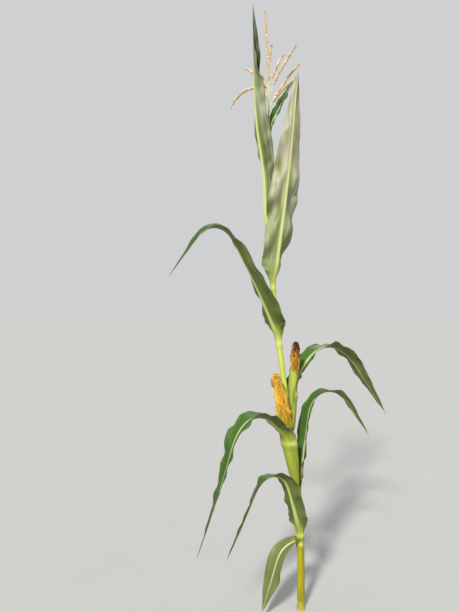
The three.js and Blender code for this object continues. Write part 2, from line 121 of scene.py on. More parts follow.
# The leaves from the lowest up, as in the frame, and what is usual for one. wave is how far the
# margins swing, over wave_length. billow is the depth of the broad hollows across the blade, their
# spacing and the place of one of them, both as shares of its length, and right_margin is what is left
# of them at that margin. rib is the midrib's share of its usual width. tone and sheath name the looks.
USUAL = dict(
    base=0.6, bulge=0, turn_from=0, turn=0.055, drift=0, twist=0, twisted_from=0, twisted_by=SETTLED_AT,
    tip_fold=0.4, rib=1, right_margin=1, tone="green", sheath="lime",
)
LEAVES = [
    dict(
        USUAL, foot=0.034, collar=0.262, azimuth=-155, length=0.32, width=0.082, fold=16, base=0.45,
        turn=0.02, rise=-8, fall=-69, bend_at=0.24, bend_span=0.42, drift=-8, twist=-34, wave=0.0025,
        wave_length=0.12, billow=(0.002, 0.4, 0.3), rib=0.6, tone="olive", sheath="gold",
    ),
    dict(
        USUAL, collar=0.298, azimuth=-118, length=0.68, width=0.086, fold=18, base=1.1, rise=72,
        fall=-64, bend_at=0.46, bend_span=0.36, drift=-72, twist=26, wave=0.005, wave_length=0.085,
        billow=(0.003, 0.21, 0.3),
    ),
    dict(
        USUAL, collar=0.452, azimuth=30, length=0.74, width=0.094, fold=24, rise=76, fall=-60,
        bend_at=0.6, bend_span=0.42, drift=-22, twist=-12, wave=0.005, wave_length=0.095,
        billow=(0.004, 0.19, 0.34),
    ),
    dict(
        USUAL, collar=0.668, azimuth=-125, length=0.76, width=0.098, fold=20, bulge=0.04, rise=46,
        fall=-64, bend_at=0.32, bend_span=0.44, drift=-45, twist=16, wave=0.006, wave_length=0.1,
        billow=(0.004, 0.2, 0.25),
    ),
    dict(
        USUAL, collar=0.852, azimuth=40, length=0.8, width=0.1, fold=20, bulge=0.041, rise=46, fall=-58,
        bend_at=0.4, bend_span=0.6, drift=-14, twist=-10, wave=0.006, wave_length=0.105,
        billow=(0.004, 0.18, 0.4),
    ),
    dict(
        USUAL, collar=1.06, azimuth=-124, length=0.8, width=0.118, fold=22, base=0.95, rise=66,
        fall=-50, bend_at=0.66, bend_span=0.26, drift=-60, twist=-14, twisted_by=0.4, wave=0.006,
        wave_length=0.12, billow=(0.004, 0.22, 0.2), sheath="pale",
    ),
    dict(
        USUAL, collar=1.286, azimuth=-36, length=0.835, width=0.136, fold=24, tip_fold=0.8, base=0.8,
        rise=75, fall=78.5, bend_at=0.5, bend_span=0.6, twist=-36, twisted_by=0.3, wave=0.005,
        wave_length=0.15, billow=(0.017, 0.23, 0.08), right_margin=0.35, tone="cream", sheath="pale",
    ),
    dict(
        USUAL, collar=1.482, azimuth=-138, length=0.94, width=0.102, fold=46, tip_fold=0.75,
        bulge=0.006, rise=80.5, turn_from=0.19, turn=0.12, fall=91.5, bend_at=0.52, bend_span=0.24,
        twist=-100, twisted_from=0.4, twisted_by=1, wave=0.008, wave_length=0.16,
        billow=(0.009, 0.28, 0.24), tone="silver", sheath="pale",
    ),
    dict(
        USUAL, foot=1.64, collar=1.906, azimuth=38, length=0.32, width=0.064, fold=16, rise=62, fall=56,
        bend_at=0.6, bend_span=0.6, wave=0.003, wave_length=0.08, billow=(0.002, 0.35, 0.4),
        tone="deep", sheath="pale",
    ),
]

# Ears, as in the frame. silk_top is the share of a strand that looks like the top of the silk, and
# silk_skew is how much longer the strands hang on one side and shorter on the other.
EARS = [
    dict(
        name="ear_1", leaf=3, silk="golden", shank_from=0.522, husk_from=0.59, tip=0.926, radius=0.0205,
        offset=0.021, lean=(-0.195, -0.08), silk_length=0.262, silk_azimuth=-55, silk_top=0.26,
        silk_skew=0.05,
    ),
    dict(
        name="ear_2", leaf=4, silk="brown", shank_from=0.738, husk_from=0.796, tip=1.046, radius=0.0145,
        offset=0.021, lean=(0.08, 0.02), silk_length=0.15, silk_azimuth=-100, silk_top=0.42,
        silk_skew=0.24,
    ),
]
SHANK = Sizes(
    radius=0.0055, off_stalk=0.0015, out=0.007, upright=0.035, steps=40, sides=20,
    nodes=5, swelling=0.08, swelling_reach=0.12,
)
HUSK = Sizes(foot=0.4, wide_by=0.42, narrow_from=0.55, tip=0.3)
# step turns each bract from the last. ends are the lengths of the innermost and the outermost, and wrap
# is half of what they cover round the ear, at the foot and at the tip.
BRACTS = Sizes(
    count=7, step=137.5, layer=0.0005, thickness=0.0005, rings=60, columns=25,
    ends=(1.03, 0.8), uneven=(0.97, 1.03), wrap=(118, 4), narrow_from=0.5,
    free_tip=0.0035, free_from=0.8, free_margin=0.0009, ribs=24, rib_height=0.00016,
)
# A tuft rises, turns over and hangs. Its turn and its gap from the husk are in radii of the ear.
# far_side is how much shorter the tufts are that hang at the back.
SILK = Sizes(
    tufts=62, strands=10, steps=48, sides=3, radius=0.0008, tip_radius=0.6,
    length=(0.6, 1), far_side=0.35, spread=52, widest=140,
    turn=(0.15, 1.7), rise=0.017, gap=(0.06, 0.63), settled=0.026,
    wander=0.005, wander_length=(0.04, 0.09), curl=(0.0008, 0.0022),
    curl_length=(0.012, 0.028), curl_from=0.03, root=0.8, root_depth=0.008,
)
# The short tufts on top, and how the strands of one tuft differ.
CROWN = Sizes(share=0.36, length=(0.045, 0.085), gap=(0.8, 1.2))
STRAND = Sizes(length=(0.85, 1), gap=(0.5, 1.2), spread=0.09)

# Tassel, as in the frame.
RACHIS = Sizes(radius=0.0026, foot=1.25, tip=0.35, steps=80, sides=10)
SPIKE = Sizes(
    bare=(2.12 - STALK_TOP) / (TASSEL_TOP - STALK_TOP), lean=-0.018, rows=8, pitch=0.0056, end=0.8,
)
BRANCH = Sizes(radius=0.0013, tip=0.4, bare=0.16, rows=5, pitch=0.0052, end=0.6, thin=8)
# The height of each branch's foot, its azimuth, its length and its elevation at foot and tip.
BRANCHES = [
    (2.012, -25, 0.155, 56, 24),
    (2.016, 18, 0.245, 62, 50),
    (2.028, 112, 0.18, 70, 62),
    (2.044, 134, 0.27, 68, -48),
    (2.068, -12, 0.222, 66, 54),
    (2.094, 140, 0.168, 52, 40),
    (2.108, 14, 0.15, 70, 60),
    (2.176, -35, 0.092, 84, 78),
]
OFF_LIMBS = (0.31, 0.95, 0)  # a direction that no limb of the tassel takes
SPIKELET = Sizes(
    length=0.0105, half_width=0.0021, flat=0.7, sides=6,
    ends=(0, 0.08, 0.3, 0.6, 0.85, 1), widths=(0.25, 0.7, 1, 0.9, 0.5, 0.08),
    off_axis=0.0008, look_round=0.004, jitter=0.3, spread=(14, 32),
    size=(0.82, 1.1), tip_size=0.55, small_from=0.75,
)
ANTHER = Sizes(
    share=0.3, length=0.009, filament=0.00018, filament_to=0.4, radius=0.00055,
    start=0.7, lean=0.3, steps=7, sides=4, across=(0.2, 1, 0.1),
)


# Small mathematics.


def clamp01(t):
    return np.clip(t, 0, 1)


def smooth(t):
    t = clamp01(t)
    return t * t * (3 - 2 * t)


def mix(a, b, share):
    return a + (b - a) * share


def unit(vectors):
    return vectors / np.linalg.norm(vectors, axis=-1, keepdims=True)


def outward(azimuth):
    angle = np.radians(np.asarray(azimuth, float))
    return np.stack([np.cos(angle), np.sin(angle), np.zeros_like(angle)], -1)


def level_across(out):
    return np.stack([-out[..., 1], out[..., 0], np.zeros_like(out[..., 0])], -1)


def square_to(tangent, vector):
    """The part of vector that is square to tangent, as a unit vector."""
    return unit(vector - tangent * np.sum(vector * tangent, -1, keepdims=True))


def bell(distance, reach):
    return np.exp(-((distance / reach) ** 2))


def past(value, start):
    """0 up to start, and from there smoothly up to 1 at a value of 1."""
    return smooth((value - start) / (1 - start))


# Meshes.

SHARP_FROM = 50  # degrees


def tube_faces(rings, sides):
    """Quads round a tube of closed rings, and triangles over its two ends."""
    ring, side = np.meshgrid(np.arange(rings - 1), np.arange(sides), indexing="ij")
    here = ring * sides + side
    beside = ring * sides + (side + 1) % sides
    quads = np.stack([here, beside, beside + sides, here + sides], -1).reshape(-1, 4)
    fan = np.arange(1, sides - 1)
    start = np.stack([np.zeros_like(fan), fan + 1, fan], -1)
    end = np.stack([np.zeros_like(fan), fan, fan + 1], -1) + (rings - 1) * sides
    return quads, np.concatenate([start, end])


def sheet_faces(rings, columns):
    """Quads over both sides, both margins and both ends of a thin sheet.

    Each ring runs along the upper side from one margin to the other and back along the under side.
    """
    around, _ = tube_faces(rings, 2 * columns)
    column = np.arange(columns - 1)
    opposite = 2 * columns - 1 - column
    start = np.stack([column, opposite, opposite - 1, column + 1], -1)
    end = np.stack([column, column + 1, opposite - 1, opposite], -1) + (rings - 1) * 2 * columns
    return np.concatenate([around, start, end]), np.zeros((0, 3), int)


def shown(name, data):
    thing = bpy.data.objects.new(name, data)
    bpy.context.scene.collection.objects.link(thing)
    return thing


class Piece:
    """Gathers the points and faces of one visible piece and makes its mesh."""

    def __init__(self, name):
        self.name = name
        self.points = []
        self.faces = {4: [], 3: []}
        self.kinds = {4: [], 3: []}
        self.values = {}
        self.count = 0

    def add(self, points, faces, kinds=0, **values):
        """Adds copies of one shape. points is (copies, points of a copy, 3), and faces its quads and
        triangles. kinds is the number of each copy's look, and values are stored by point."""
        copies, size = points.shape[:2]
        offsets = self.count + size * np.arange(copies)
        kinds = np.broadcast_to(kinds, copies)
        for corners, shape in zip((4, 3), faces):
            moved = shape[None] + offsets[:, None, None]
            self.faces[corners].append(moved.reshape(-1, corners))
            self.kinds[corners].append(np.repeat(kinds, len(shape)))
        self.points.append(points.reshape(-1, 3))
        for key, value in values.items():
            self.values.setdefault(key, []).append(np.ravel(value))
        self.count += copies * size

    def add_tubes(self, lines, radii, across, sides, kinds=0):
        """Adds round tubes along lines, (tubes, steps, 3), with a radius for each step. across is a
        direction that stays off each line."""
        tangent = unit(np.gradient(lines, axis=1))
        side = square_to(tangent, across)
        other = np.cross(tangent, side)
        angle = np.linspace(0, 2 * np.pi, sides, endpoint=False)[:, None]
        circle = side[:, :, None] * np.cos(angle) + other[:, :, None] * np.sin(angle)
        points = lines[:, :, None] + circle * radii[:, :, None, None]
        tubes, steps = lines.shape[:2]
        self.add(points.reshape(tubes, -1, 3), tube_faces(steps, sides), kinds)

    def add_sheet(self, upper, under, **values):
        """Adds a thin sheet between two grids of points. Each value is a pair, for the two sides."""
        rings, columns = upper.shape[:2]

        def round_loop(top, bottom):
            return np.concatenate([top[:, ::-1], bottom], 1)

        points = round_loop(upper, under).reshape(1, -1, 3)
        values = {key: round_loop(*pair) for key, pair in values.items()}
        self.add(points, sheet_faces(rings, columns), **values)

    def make(self, looks, node):
        mesh = bpy.data.meshes.new(self.name)
        points = np.concatenate(self.points)
        quads, triangles = (np.concatenate(self.faces[corners]) for corners in (4, 3))
        corners = np.concatenate([quads.ravel(), triangles.ravel()])
        sizes = np.repeat([4, 3], [len(quads), len(triangles)])
        mesh.vertices.add(len(points))
        mesh.vertices.foreach_set("co", points.ravel())
        mesh.loops.add(len(corners))
        mesh.loops.foreach_set("vertex_index", corners)
        mesh.polygons.add(len(sizes))
        mesh.polygons.foreach_set("loop_start", np.cumsum(sizes) - sizes)
        kinds = np.concatenate(self.kinds[4] + self.kinds[3])
        mesh.polygons.foreach_set("material_index", kinds)
        for key, parts in self.values.items():
            stored = mesh.attributes.new(key, "FLOAT", "POINT")
            stored.data.foreach_set("value", np.concatenate(parts))
        for look in looks:
            mesh.materials.append(look)
        mesh.update(calc_edges=True)
        mesh.validate()
        mesh.shade_smooth()
        mesh.set_sharp_from_angle(angle=np.radians(SHARP_FROM))
        thing = shown(self.name, mesh)
        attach(thing, "root")
        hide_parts(node)


# Looks.

# Colours of a blade: its upper side with its patches and veins, the same for its under side, and its
# midrib on the two sides. The vein colour also serves as painted shade beside the midrib.
TONES = {
    "cream": (
        ("#2f4517", "#41591d", "#243610"), ("#b6ad98", "#687839", "#737956"), ("#a5ad7c", "#bcbf78"),
    ),
    "silver": (
        ("#283e12", "#38511a", "#1f300d"), ("#908f75", "#4d5f24", "#5a633c"), ("#a5ad7c", "#b6ba70"),
    ),
    "green": (
        ("#304e13", "#43681c", "#243d0e"), ("#6b7440", "#4b5c24", "#4a5728"), ("#a0a86f", "#b0b560"),
    ),
    "olive": (
        ("#596030", "#6a703c", "#454e22"), ("#6a713c", "#535f2c", "#4a552a"), ("#aeb28a", "#a5ab48"),
    ),
    "deep": (
        ("#2b5013", "#3c681c", "#203e0e"), ("#5f7636", "#4f672b", "#435922"), ("#a9b183", "#98a447"),
    ),
}
# Colours of a sheath and of its veins.
SHEATHS = {
    "gold": ("#9f911a", "#7c7718"),
    "lime": ("#989e38", "#76832a"),
    "pale": ("#b4ba55", "#95a240"),
}
COLLAR_COLOUR = "#c6c878"
RING_COLOUR = "#5c7628"
DRY_COLOUR = "#a08a55"
# Noise drawn out along a leaf, in cells to the metre, and the part of its range that is used.
VEINS = Sizes(across=420, along=5, range=(0.4, 0.62))
STREAKS = Sizes(across=120, along=4, range=(0.4, 0.62))
PATCHES = Sizes(across=34, along=8, range=(0.45, 0.72))
OTHER_SIDE = 7  # cells between the noise of a leaf's two sides
DRY_SPOTS = Sizes(cells=60, range=(0.35, 0.6), least=0.45)
GREENER = Sizes(run=(0.1, 0.5), share=0.6)  # more of the patches' colour near the collar
# How strongly veins and streaks show as lines, and streaks as patches too.
LINED = Sizes(vein=0.55, streak=0.6, patch=0.45)
LEAF_ROUGHNESS = (0.45, 0.5)  # of the upper and the under side
LEAF_SPECULAR = 0.24
LEAF_BUMP = Sizes(streak=2, height=0.0005)

STALK_LOOK = dict(colour="#a0942a", streak="#7d7a24", top="#b2b860", cells=(700, 700, 14), roughness=0.5)
STALK_CHANGES = (0.1, 1.6)  # heights between which the stalk takes its upper colour
HUSK_LOOK = dict(colour="#a3a948", streak="#879136", cells=(520, 520, 9), roughness=0.55)
STREAK_RANGE = (0.38, 0.64)
STREAK_HEIGHT = 0.0003
# Colours and streaks of strands, spikelets and anthers.
FINE_COLOURS = {
    "silk_gold": ("#e9c044", "#c99526"),
    "silk_tan": ("#cba055", "#a57736"),
    "silk_orange": ("#be862c", "#98631b"),
    "silk_brown": ("#4b2e10", "#332009"),
    "rachis": ("#cfcf9c", "#b3b97c"),
    "spikelet_straw": ("#d8c08c", "#bb9c60"),
    "spikelet_pink": ("#cba27a", "#a87d50"),
    "spikelet_cream": ("#e4dab6", "#c8b98c"),
    "anther": ("#c08f3c", "#94682a"),
}
FINE_LOOK = dict(cells=(300, 300, 60), roughness=0.65, specular=0.3)


def paint(code):
    """A colour given as #rrggbb, in linear light."""
    parts = np.array([int(code[i : i + 2], 16) for i in (1, 3, 5)]) / 255
    linear = np.where(parts <= 0.04045, parts / 12.92, ((parts + 0.055) / 1.055) ** 2.4)
    return (*linear, 1)


class Look:
    """One procedural material, built up step by step on its shader."""

    def __init__(self, name, roughness, specular=0.4):
        self.material = bpy.data.materials.new(name)
        self.material.use_nodes = True
        self.nodes = self.material.node_tree.nodes
        self.links = self.material.node_tree.links
        self.shader = self.nodes["Principled BSDF"]
        self.shader.inputs["Roughness"].default_value = roughness
        self.shader.inputs["Specular IOR Level"].default_value = specular

    def feed(self, socket, value):
        if isinstance(value, bpy.types.NodeSocket):
            self.links.new(value, socket)
        else:
            socket.default_value = value

    def node(self, kind, inputs, **settings):
        node = self.nodes.new(kind)
        for key, value in settings.items():
            setattr(node, key, value)
        for key, value in inputs.items():
            self.feed(node.inputs[key], value)
        return node

    def value(self, name):
        return self.node("ShaderNodeAttribute", {}, attribute_name=name).outputs["Fac"]

    def maths(self, operation, first, second):
        node = self.node("ShaderNodeMath", {0: first, 1: second}, operation=operation)
        return node.outputs[0]

    def scaled(self, value, low, high, to_low=0.0, to_high=1.0):
        inputs = {0: value, 1: low, 2: high, 3: to_low, 4: to_high}
        return self.node("ShaderNodeMapRange", inputs, clamp=True).outputs[0]

    def place(self):
        return self.node("ShaderNodeTexCoord", {}).outputs["Object"]

    def noise(self, place, scale, detail=2.0):
        inputs = {"Vector": place, "Scale": scale, "Detail": detail}
        return self.node("ShaderNodeTexNoise", inputs).outputs["Fac"]

    def blend(self, share, first, second):
        inputs = {0: share, 6: first, 7: second}
        return self.node("ShaderNodeMix", inputs, data_type="RGBA").outputs[2]

    def bump(self, height, distance, strength=0.5):
        inputs = {"Height": height, "Distance": distance, "Strength": strength}
        self.feed(self.shader.inputs["Normal"], self.node("ShaderNodeBump", inputs).outputs[0])

    def colour(self, value):
        self.feed(self.shader.inputs["Base Color"], value)


def leaf_look(name, sheath_name):
    tones = [[paint(code) for code in codes] for codes in TONES[name]]
    look = Look("leaf_%s_%s" % (name, sheath_name), LEAF_ROUGHNESS[1], LEAF_SPECULAR)
    under = look.value("underside")

    def lines(cells):
        """Noise drawn out along the leaf, different on its two sides."""
        stretched = {
            0: look.maths("MULTIPLY", look.value("across"), cells.across),
            1: look.maths("MULTIPLY", look.value("run"), cells.along),
            2: look.maths("MULTIPLY", under, OTHER_SIDE),
        }
        along = look.node("ShaderNodeCombineXYZ", stretched).outputs[0]
        return look.scaled(look.noise(along, 1, 1), *cells.range)

    vein = lines(VEINS)
    streak = lines(STREAKS)
    patch = lines(PATCHES)
    mottled = look.maths("MAXIMUM", patch, look.maths("MULTIPLY", streak, LINED.patch))
    greener = look.scaled(look.value("run"), *GREENER.run, GREENER.share, 0)
    mottled = look.maths("ADD", mottled, greener)
    # Shade painted beside the midrib, as if its ridge cast it, darkens toward the vein colour like the
    # veins.
    lined = look.maths("MAXIMUM", look.maths("MULTIPLY", vein, LINED.vein), look.value("crease"))
    lined = look.maths("MAXIMUM", lined, look.maths("MULTIPLY", streak, LINED.streak))

    upper, lower = (
        look.blend(lined, look.blend(mottled, plain, patched), veined)
        for plain, patched, veined in tones[:2]
    )
    face = look.blend(under, upper, lower)
    face = look.blend(look.value("rib"), face, look.blend(under, *tones[2]))
    sheath, sheath_vein = (paint(code) for code in SHEATHS[sheath_name])
    sheath = look.blend(look.maths("MAXIMUM", patch, streak), sheath, sheath_vein)
    marks = {"pale": sheath, "collar": paint(COLLAR_COLOUR), "ring": paint(RING_COLOUR)}
    for mark, colour in marks.items():
        face = look.blend(look.value(mark), face, colour)
    spots = look.scaled(look.noise(look.place(), DRY_SPOTS.cells), *DRY_SPOTS.range)
    dry = look.maths("MULTIPLY", look.value("dry"), look.scaled(spots, 0, 1, DRY_SPOTS.least, 1))
    look.colour(look.blend(dry, face, paint(DRY_COLOUR)))
    look.feed(look.shader.inputs["Roughness"], look.scaled(under, 0, 1, *LEAF_ROUGHNESS))
    raised = look.maths("ADD", vein, look.maths("MULTIPLY", streak, LEAF_BUMP.streak))
    look.bump(raised, LEAF_BUMP.height)
    return look.material


def streaked_look(name, colour, streak, cells, roughness, specular=0.4, top=None):
    """A plain plant surface with streaks along the height, turning to the colour top further up."""
    look = Look(name, roughness, specular)
    place = look.node("ShaderNodeMapping", {0: look.place(), 3: cells}).outputs[0]
    streaks = look.scaled(look.noise(place, 1, 3), *STREAK_RANGE)
    face = look.blend(streaks, paint(colour), paint(streak))
    if top:
        height = look.node("ShaderNodeSeparateXYZ", {0: look.place()}).outputs[2]
        face = look.blend(look.scaled(height, *STALK_CHANGES), face, paint(top))
    look.colour(face)
    look.bump(streaks, STREAK_HEIGHT)
    return look.material


def make_looks():
    pairs = {(leaf["tone"], leaf["sheath"]): None for leaf in LEAVES}
    looks = {pair: leaf_look(*pair) for pair in pairs}
    looks["stalk"] = streaked_look("stalk", **STALK_LOOK)
    looks["husk"] = streaked_look("husk", **HUSK_LOOK)
    for name, colours in FINE_COLOURS.items():
        looks[name] = streaked_look(name, *colours, **FINE_LOOK)
    return looks


LOOKS = make_looks()


# Stalk.


def stalk_centre(z):
    z = np.asarray(z, float)
    share = smooth((z - LEAN.start) / (LEAN.end - LEAN.start))
    return np.stack([LEAN.x * share, LEAN.y * share, z], -1)


def stalk_radius(z):
    return mix(FOOT_RADIUS, NECK_RADIUS, clamp01(z / TAPER_HEIGHT) ** TAPER_POWER)


def make_stalk():
    heights = np.linspace(0, STALK_TOP, STALK_RINGS)
    angle = np.linspace(0, 2 * np.pi, STALK_SIDES, endpoint=False)
    flare = FLARE.radius * clamp01(1 - heights / FLARE.height) ** 2
    swollen = [clamp01(1 - np.abs(heights - h) / RINGS.reach) for h in RINGS.heights]
    radius = stalk_radius(heights) + flare + RINGS.radius * smooth(np.max(swollen, 0))
    ribs = sum(depth * np.cos(count * angle + phase) for count, phase, depth in STALK_RIBS)
    around = radius[:, None] * (1 + ribs)
    points = stalk_centre(heights)[:, None] + around[..., None] * outward(np.degrees(angle))
    piece = Piece("stalk_surface")
    piece.add(points.reshape(1, -1, 3), tube_faces(STALK_RINGS, STALK_SIDES))
    piece.make([LOOKS["stalk"]], "stalk")


# Leaves.


def led_path(start, up, length, elevation, azimuth, twist):
    """A line led by its elevation and azimuth, with the frame of a sheet along it: lateral runs across
    the sheet and normal points to its upper side. up is what an elevation of 90 follows."""
    share = np.linspace(0, 1, PATH_STEPS + 1)
    rise = np.radians(elevation(share))[:, None]
    out = outward(azimuth(share))
    tangent = unit(out * np.cos(rise) + up * np.sin(rise))
    lateral = square_to(tangent, level_across(out))
    turn = np.radians(twist(share))[:, None]
    lateral = lateral * np.cos(turn) + np.cross(tangent, lateral) * np.sin(turn)
    moves = np.cumsum(tangent[:-1], 0) * length / PATH_STEPS
    points = start + np.concatenate([np.zeros((1, 3)), moves])
    return share, {"point": points, "lateral": lateral, "normal": np.cross(tangent, lateral)}


def along_path(path, shares):
    share, lines = path
    return {
        key: np.stack([np.interp(shares, share, column) for column in line.T], -1)
        for key, line in lines.items()
    }


def sheath_radius(z, collar):
    narrow = stalk_radius(z) + SHEATH_PLAY
    wide = narrow + SHEATH_THICKNESS + SHEATH_PLAY
    return mix(narrow, wide, smooth((z - collar + COLLAR_REACH) / (COLLAR_REACH - TUCK)))


def sheath_foot(index):
    leaf = LEAVES[index]
    return leaf.get("foot", LEAVES[index - 1]["collar"] - TUCK)


def sheath_sections(index, heights):
    """The sheet's cross-sections in the rolled part of a leaf, at these heights."""
    leaf = LEAVES[index]
    collar = leaf["collar"]
    inner = sheath_radius(heights, collar)
    bulge_foot = sheath_foot(index) + BULGE.start
    swollen = clamp01((heights - bulge_foot) / (collar - bulge_foot)) ** BULGE.power
    swell = leaf["bulge"] * swollen
    radius = inner + swell / 2
    opening = smooth((heights - collar + COLLAR_REACH) / COLLAR_REACH)
    wrap = np.radians(mix(SHEATH_WRAP, COLLAR_WRAP, opening))
    wrap = np.minimum(wrap, SHEATH_WIDTH / 2 / radius)
    out = outward(leaf["azimuth"])
    rings = len(heights)
    return {
        "point": stalk_centre(heights) + out * (inner + swell)[:, None],
        "lateral": np.tile(level_across(out), (rings, 1)),
        "normal": np.tile(-out, (rings, 1)),
        "half_width": radius * wrap,
        "inner": np.zeros(rings),
        "outer": wrap,
        "thickness": np.full(rings, SHEATH_THICKNESS),
        "run": heights - collar,
    }


def blade_half_width(leaf, share):
    rising = mix(leaf["base"], 1, np.sin(np.pi / 2 * clamp01(share / WIDEST_AT)))
    narrowed = clamp01((share - WIDEST_AT) / (1 - WIDEST_AT))
    return np.maximum(leaf["width"] / 2 * rising * (1 - narrowed**TIP_POWER), TIP_HALF_WIDTH)


def blade_sections(index, share):
    """The sheet's cross-sections in the blade, at these shares of its length."""
    leaf = LEAVES[index]
    length = leaf["length"]
    collar = sheath_sections(index, np.array([leaf["collar"]]))
    up = unit(stalk_centre(leaf["collar"] + 0.001) - stalk_centre(leaf["collar"] - 0.001))

    def elevation(u):
        turning = mix(90, leaf["rise"], smooth((u * length - leaf["turn_from"]) / leaf["turn"]))
        bending = smooth((u - leaf["bend_at"]) / leaf["bend_span"] + 0.5)
        return turning + (leaf["fall"] - leaf["rise"]) * bending

    def azimuth(u):
        return leaf["azimuth"] + leaf["drift"] * u

    def twist(u):
        start = leaf["twisted_from"]
        return leaf["twist"] * smooth((u - start) / (leaf["twisted_by"] - start))

    path = led_path(collar["point"][0], up, length, elevation, azimuth, twist)
    opened = smooth(share / UNROLL)
    fold = np.radians(leaf["fold"]) * mix(1, leaf["tip_fold"], smooth(share / SETTLED_AT))
    full = mix(BLADE_THICKNESS * length, MARGIN_THICKNESS, past(share, THINS_FROM))
    return along_path(path, share) | {
        "half_width": mix(collar["half_width"][0], blade_half_width(leaf, share), opened),
        "inner": fold * opened,
        "outer": mix(collar["outer"][0], fold * MARGIN_FOLD, opened),
        "thickness": mix(SHEATH_THICKNESS, full, opened),
        "run": share * length,
    }


def across_sheet(sections, v):
    """Points of a sheet at shares v of its half width, and which way its upper side faces there. Each
    half starts at the midrib with the tilt inner and curves evenly to the tilt outer."""
    half, inner, outer = (sections[key][:, None] for key in ("half_width", "inner", "outer"))
    middle, lateral, normal = (sections[key][:, None] for key in ("point", "lateral", "normal"))
    run = np.abs(v) * half
    bend = np.maximum(np.abs(outer - inner), 1e-4) / half
    tilt = inner + bend * run
    side = np.sign(v) * (np.sin(tilt) - np.sin(inner)) / bend
    up = (np.cos(inner) - np.cos(tilt)) / bend
    points = middle + lateral * side[..., None] + normal * up[..., None]
    facing = normal * np.cos(tilt)[..., None] - lateral * (np.sign(v) * np.sin(tilt))[..., None]
    return points, facing


def swings(rng, run, v, length):
    """Even waves of the two margins, each with its own phases."""
    total = 0
    for strength, stretch in SWINGS:
        phase = np.where(v > 0, *rng.uniform(0, 2 * np.pi, 2))
        total = total + strength * np.sin(2 * np.pi * run[:, None] / (length * stretch) + phase)
    return total / SWINGS_TOTAL


def dents(rng, share, v, length):
    """Soft hollows and swellings scattered over both halves of a blade."""
    count = int(length / DENT.spacing)
    total = np.zeros((len(share), len(v)))
    for side in (-1, 1):
        places = (np.arange(count) + rng.uniform(*DENT.jitter, count)) / count
        for at in places:
            middle = side * rng.uniform(*DENT.middle)
            reach = DENT.along / length * rng.uniform(*DENT.stretch)
            slant = DENT.slant * rng.uniform(-1, 1) * np.abs(v)
            along = bell(share[:, None] - at - slant, reach)
            total += DENT.depth * rng.uniform(-1, 1) * along * bell(v - middle, DENT.across)
    return total


def ruffles(rng, share, v, run):
    """Short waves of the margins near the collar."""
    phase = np.where(v > 0, *rng.uniform(0, 2 * np.pi, 2))
    wave = np.sin(2 * np.pi * run[:, None] / RUFFLE.length + phase)
    return RUFFLE.depth * bell(share - RUFFLE.at, RUFFLE.reach)[:, None] * np.abs(v) ** 3 * wave


def billows(leaf, share, v):
    """Broad hollows aslant the two halves of a blade."""
    depth, spacing, at = leaf["billow"]
    slant = np.where(v < 0, BILLOW.left_slant, BILLOW.right_slant) * np.abs(v)
    phase = (share[:, None] - at + slant) / spacing
    strongest = bell(share - at - spacing, BILLOW.reach)[:, None]
    off_rib = smooth(np.abs(v) / BILLOW.off_rib)
    kept = mix(1, leaf["right_margin"], past(v, BILLOW.margin_from))
    return -depth * mix(BILLOW.weakest, 1, strongest) * off_rib * kept * np.cos(2 * np.pi * phase)


def leaf_relief(leaf, rng, sections, share, v, on_blade):
    """How far a leaf's surface leaves its even shape, less where the blade is narrow."""
    run = sections["run"]
    filled = clamp01(sections["half_width"] * 2 / leaf["width"])
    steady = on_blade * filled * smooth((1 - share) / CALM_TIP)
    swing = leaf["wave"] * v**2 * swings(rng, run, v, leaf["wave_length"])
    relief = swing + billows(leaf, share, v) + dents(rng, share, v, leaf["length"])
    return steady[:, None] * relief + on_blade[:, None] * ruffles(rng, share, v, run)


def leaf_marks(leaf, run, share, v, on_blade, rib, rib_shade_band):
    """Where a leaf shows its midrib, the painted shade beside it, pale foot, collar, ring, and dry tip
    and margins.
    """
    edge = np.abs(v)
    above_foot = np.where(run <= 0, run - run[0], np.inf)
    ring = 0 if "foot" in leaf else MARKS.ring
    dry = past(share, MARKS.dry_from)[:, None]
    dry = dry + MARKS.dry_margin * past(edge, MARKS.dry_margin_from)
    return {
        "rib": clamp01(MARKS.rib * rib * mix(1, MARKS.rib_tip, share)[:, None]),
        # Shade painted on both sides of the midrib on the blade, standing in for the shadow of its
        # ridge.
        "crease": MARKS.crease * rib_shade_band * on_blade[:, None],
        "pale": 1 - smooth(share[:, None] / mix(*MARKS.pale, edge)),
        "collar": bell(run, MARKS.collar_reach)[:, None] * mix(*MARKS.collar, edge),
        "ring": ring * bell(above_foot - MARKS.ring_at, MARKS.ring_reach)[:, None],
        "dry": clamp01(dry * on_blade[:, None]),
    }


